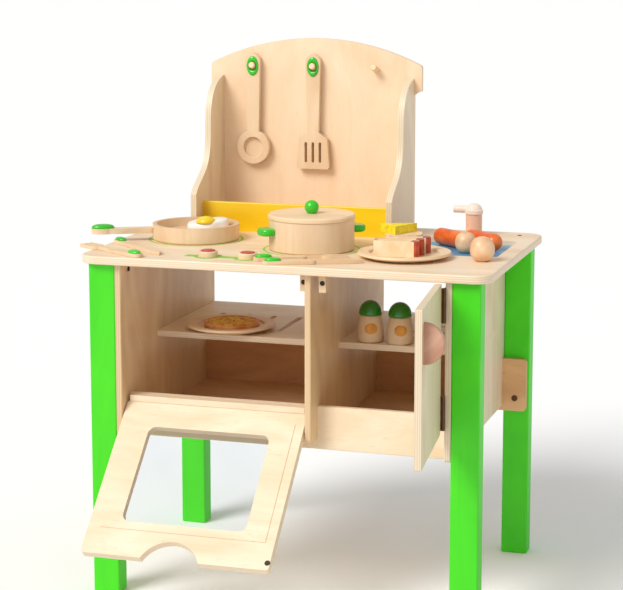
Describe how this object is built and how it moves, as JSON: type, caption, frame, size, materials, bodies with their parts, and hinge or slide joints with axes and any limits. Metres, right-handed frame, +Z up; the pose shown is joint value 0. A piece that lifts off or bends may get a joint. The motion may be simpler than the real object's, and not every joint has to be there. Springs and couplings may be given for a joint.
{
  "type": "toy kitchen",
  "caption": "Wooden toy kitchen with worktop, sink, swivel faucet, hinged oven and cupboard doors, splashback shelf, hanging utensils, pot, pan and loose play food.",
  "frame": {"origin": "on the floor under the centre of the worktop", "axes": "+Z up, +Y towards the splashback, +X to the right seen from the front, doors and knobs face -Y"},
  "size_m": [0.633, 0.5831, 0.793],
  "materials": {
    "birch_ply": "satin",
    "solid_birch": "satin",
    "green_paint": "gloss",
    "yellow_paint": "gloss",
    "blue_paint": "satin",
    "clear_pane": "clear",
    "steel": "satin",
    "bronzed_steel": "satin",
    "egg_white": "satin",
    "cheese_yellow": "satin",
    "sausage_orange": "satin"
  },
  "bodies": {
    "kitchen": {"bottom_shelf": "birch_ply", "catch_blocks": "solid_birch", "catch_magnets": "steel", "centre_divider": "birch_ply", "faucet_column": "solid_birch", "front_left_leg": "green_paint", "front_rail": "birch_ply", "front_right_leg": "green_paint", "hinge_fixed_leaves": "bronzed_steel", "left_bracket": "birch_ply", "left_side_panel": "birch_ply", "mid_shelf": "birch_ply", "oven_door_stop": "birch_ply", "oven_hinge_pins": "steel", "rail_bolts": "steel", "rear_left_leg": "green_paint", "rear_rail": "birch_ply", "rear_right_leg": "green_paint", "right_bracket": "birch_ply", "right_side_panel": "birch_ply", "sink_basin": "blue_paint", "spice_rail": "yellow_paint", "splashback": "birch_ply", "utensil_pegs": "birch_ply", "worktop": "birch_ply"},
    "oven_door": {"oven_door_frame": "birch_ply", "oven_door_window": "clear_pane", "oven_door_strike": "steel"},
    "cupboard_door": {"cupboard_door": "birch_ply", "cupboard_door_grip": "solid_birch", "cupboard_door_strike": "steel", "hinge_door_leaves": "bronzed_steel"},
    "left_knob": {"left_knob": "solid_birch"},
    "right_knob": {"right_knob": "solid_birch"},
    "faucet_head": {"faucet_head": "solid_birch"},
    "ladle": {"ladle": "birch_ply"},
    "spatula": {"spatula": "birch_ply"},
    "pot": {"pot": "solid_birch", "pot_handles": "green_paint"},
    "pot_lid": {"pot_lid": "solid_birch", "pot_lid_ball": "green_paint"},
    "frying_pan": {"frying_pan": "solid_birch", "frying_pan_handle": "solid_birch"},
    "fried_egg": {"fried_egg": "egg_white"},
    "left_shaker": {"left_shaker": "solid_birch"},
    "right_shaker": {"right_shaker": "solid_birch"},
    "serving_plate": {"serving_plate": "solid_birch"},
    "cake_slices": {"cake_slices": "solid_birch"},
    "pizza_plate": {"pizza_plate": "solid_birch"},
    "pizza": {"pizza": "solid_birch"},
    "bread_slices": {"bread_slices": "solid_birch"},
    "cheese_wedge": {"cheese_wedge": "cheese_yellow"},
    "left_sausage": {"left_sausage": "sausage_orange"},
    "right_sausage": {"right_sausage": "sausage_orange"},
    "rear_roll": {"rear_roll": "solid_birch"},
    "front_roll": {"front_roll": "solid_birch"},
    "left_knife": {"left_knife": "solid_birch"},
    "left_fork": {"left_fork": "solid_birch"},
    "right_knife": {"right_knife": "solid_birch"},
    "right_fork": {"right_fork": "solid_birch"}
  },
  "joints": [
    {"name": "oven_door_hinge", "type": "hinge", "parent": "kitchen", "child": "oven_door", "pos_m": [-0.1, -0.1848, 0.2649], "axis": [-1, 0, 0], "range_deg": [0, 134.4]},
    {"name": "cupboard_door_hinge", "type": "hinge", "parent": "kitchen", "child": "cupboard_door", "pos_m": [0.23625, -0.1936, 0.38], "axis": [0, 0, 1], "range_deg": [-96, 74]},
    {"name": "left_knob_turn", "type": "hinge", "parent": "kitchen", "child": "left_knob", "pos_m": [-0.117, -0.154, 0.5], "axis": [0, 0, 1], "range_deg": [-135, 135]},
    {"name": "right_knob_turn", "type": "hinge", "parent": "kitchen", "child": "right_knob", "pos_m": [-0.057, -0.155, 0.5], "axis": [0, 0, 1], "range_deg": [-135, 135]},
    {"name": "faucet_swivel", "type": "hinge", "parent": "kitchen", "child": "faucet_head", "pos_m": [0.2, 0.151, 0.53], "axis": [0, 0, 1], "continuous": true},
    {"name": "ladle_off_peg", "type": "slide", "parent": "kitchen", "child": "ladle", "axis": [0, -0.9659, 0.2588], "range_m": [0, 0.04]},
    {"name": "spatula_off_peg", "type": "slide", "parent": "kitchen", "child": "spatula", "axis": [0, -0.9659, 0.2588], "range_m": [0, 0.04]},
    {"name": "pot_lift", "type": "slide", "parent": "kitchen", "child": "pot", "axis": [0, 0, 1], "range_m": [0, 0.08]},
    {"name": "frying_pan_lift", "type": "slide", "parent": "kitchen", "child": "frying_pan", "axis": [0, 0, 1], "range_m": [0, 0.06]},
    {"name": "serving_plate_lift", "type": "slide", "parent": "kitchen", "child": "serving_plate", "axis": [0, 0, 1], "range_m": [0, 0.06]},
    {"name": "bread_slices_lift", "type": "slide", "parent": "kitchen", "child": "bread_slices", "axis": [0, 0, 1], "range_m": [0, 0.05]},
    {"name": "left_sausage_lift", "type": "slide", "parent": "kitchen", "child": "left_sausage", "axis": [0, 0, 1], "range_m": [0, 0.06]},
    {"name": "right_sausage_lift", "type": "slide", "parent": "kitchen", "child": "right_sausage", "axis": [0, 0, 1], "range_m": [0, 0.06]},
    {"name": "rear_roll_lift", "type": "slide", "parent": "kitchen", "child": "rear_roll", "axis": [0, 0, 1], "range_m": [0, 0.06]},
    {"name": "front_roll_lift", "type": "slide", "parent": "kitchen", "child": "front_roll", "axis": [0, 0, 1], "range_m": [0, 0.05]},
    {"name": "left_knife_lift", "type": "slide", "parent": "kitchen", "child": "left_knife", "axis": [0, 0, 1], "range_m": [0, 0.04]},
    {"name": "left_fork_lift", "type": "slide", "parent": "kitchen", "child": "left_fork", "axis": [0, 0, 1], "range_m": [0, 0.04]},
    {"name": "right_knife_lift", "type": "slide", "parent": "kitchen", "child": "right_knife", "axis": [0, 0, 1], "range_m": [0, 0.04]},
    {"name": "right_fork_lift", "type": "slide", "parent": "kitchen", "child": "right_fork", "axis": [0, 0, 1], "range_m": [0, 0.04]},
    {"name": "left_shaker_lift", "type": "slide", "parent": "kitchen", "child": "left_shaker", "axis": [0, 0, 1], "range_m": [0, 0.03]},
    {"name": "right_shaker_lift", "type": "slide", "parent": "kitchen", "child": "right_shaker", "axis": [0, 0, 1], "range_m": [0, 0.03]},
    {"name": "pizza_plate_lift", "type": "slide", "parent": "kitchen", "child": "pizza_plate", "axis": [0, 0, 1], "range_m": [0, 0.03]},
    {"name": "pot_lid_lift", "type": "slide", "parent": "pot", "child": "pot_lid", "axis": [0, 0, 1], "range_m": [0, 0.05]},
    {"name": "fried_egg_lift", "type": "slide", "parent": "frying_pan", "child": "fried_egg", "axis": [0, 0, 1], "range_m": [0, 0.04]},
    {"name": "cake_lift", "type": "slide", "parent": "serving_plate", "child": "cake_slices", "axis": [0, 0, 1], "range_m": [0, 0.04]},
    {"name": "pizza_lift", "type": "slide", "parent": "pizza_plate", "child": "pizza", "axis": [0, 0, 1], "range_m": [0, 0.03]},
    {"name": "cheese_lift", "type": "slide", "parent": "bread_slices", "child": "cheese_wedge", "axis": [0, 0, 1], "range_m": [0, 0.04]}
  ]
}
